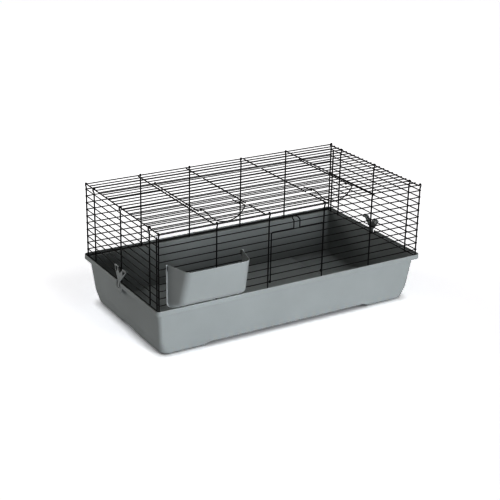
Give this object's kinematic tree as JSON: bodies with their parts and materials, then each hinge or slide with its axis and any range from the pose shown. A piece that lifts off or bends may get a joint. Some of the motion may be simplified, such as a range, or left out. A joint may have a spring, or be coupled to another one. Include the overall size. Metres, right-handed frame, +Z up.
{
  "type": "wire rabbit cage",
  "caption": "Indoor rabbit cage: deep plastic tub, lift-off wire top with hinged front and roof doors, sprung wire latches, side clips and a hang-on hay rack.",
  "frame": {"origin": "on the floor, under the middle of the cage's bounding box, hay rack included", "axes": "+X along the cage, away from the hay rack; -Y is the front with the door; +Z up"},
  "size_m": [1.0218, 0.6396, 0.43],
  "materials": {
    "tub_plastic": "satin",
    "rack_plastic": "satin",
    "clip_plastic": "satin",
    "panel_wire": "satin",
    "door_wire": "satin",
    "latch_wire": "satin"
  },
  "bodies": {
    "tub": {"tub_shell": "tub_plastic"},
    "wire_top": {"front_level_wires": "panel_wire", "front_uprights": "panel_wire", "back_level_wires": "panel_wire", "back_uprights": "panel_wire", "left_level_wires": "panel_wire", "left_uprights": "panel_wire", "right_level_wires": "panel_wire", "right_uprights": "panel_wire", "roof_edge_wires": "panel_wire", "roof_length_wires": "panel_wire", "roof_cross_wires": "panel_wire"},
    "front_door": {"front_door_frame": "door_wire", "front_door_wires": "door_wire"},
    "front_latch": {"front_door_latch": "latch_wire"},
    "roof_door": {"roof_door_length_wires": "door_wire", "roof_door_middle_wires": "door_wire", "roof_door_stiffeners": "door_wire", "roof_door_left_wire": "door_wire", "roof_door_right_wire": "door_wire"},
    "roof_latch_left": {"roof_door_left_latch": "latch_wire"},
    "roof_latch_right": {"roof_door_right_latch": "latch_wire"},
    "clip_left": {"left_clip": "clip_plastic"},
    "clip_right": {"right_clip": "clip_plastic"},
    "rack": {"hay_rack": "rack_plastic"}
  },
  "joints": [
    {"name": "top_lift", "type": "slide", "parent": "tub", "child": "wire_top", "axis": [0, 0, 1], "range_m": [0, 0.05]},
    {"name": "front_door_hinge", "type": "hinge", "parent": "wire_top", "child": "front_door", "pos_m": [0, -0.22685, 0.19], "axis": [1, 0, 0], "range_deg": [0, 130]},
    {"name": "front_latch_flex", "type": "hinge", "parent": "front_door", "child": "front_latch", "pos_m": [0, -0.22985, 0.3609], "axis": [1, 0, 0], "range_deg": [0, 25], "stiffness_Nm_per_rad": 0.08},
    {"name": "roof_door_hinge", "type": "hinge", "parent": "wire_top", "child": "roof_door", "pos_m": [0, 0.20691, 0.425], "axis": [-1, 0, 0], "range_deg": [0, 165]},
    {"name": "left_roof_latch_flex", "type": "hinge", "parent": "roof_door", "child": "roof_latch_left", "pos_m": [-0.21, -0.09375, 0.4249], "axis": [-1, 0, 0], "range_deg": [0, 15], "stiffness_Nm_per_rad": 0.2},
    {"name": "right_roof_latch_flex", "type": "hinge", "parent": "roof_door", "child": "roof_latch_right", "pos_m": [0.21, -0.09375, 0.4249], "axis": [-1, 0, 0], "range_deg": [0, 15], "stiffness_Nm_per_rad": 0.2},
    {"name": "left_clip_hinge", "type": "hinge", "parent": "wire_top", "child": "clip_left", "pos_m": [-0.4971, 0.04225, 0.214], "axis": [0, 1, 0], "range_deg": [0, 100]},
    {"name": "right_clip_hinge", "type": "hinge", "parent": "wire_top", "child": "clip_right", "pos_m": [0.4971, 0.04225, 0.214], "axis": [0, -1, 0], "range_deg": [0, 100]},
    {"name": "rack_lift", "type": "slide", "parent": "wire_top", "child": "rack", "axis": [0, 0, 1], "range_m": [0, 0.008]}
  ]
}
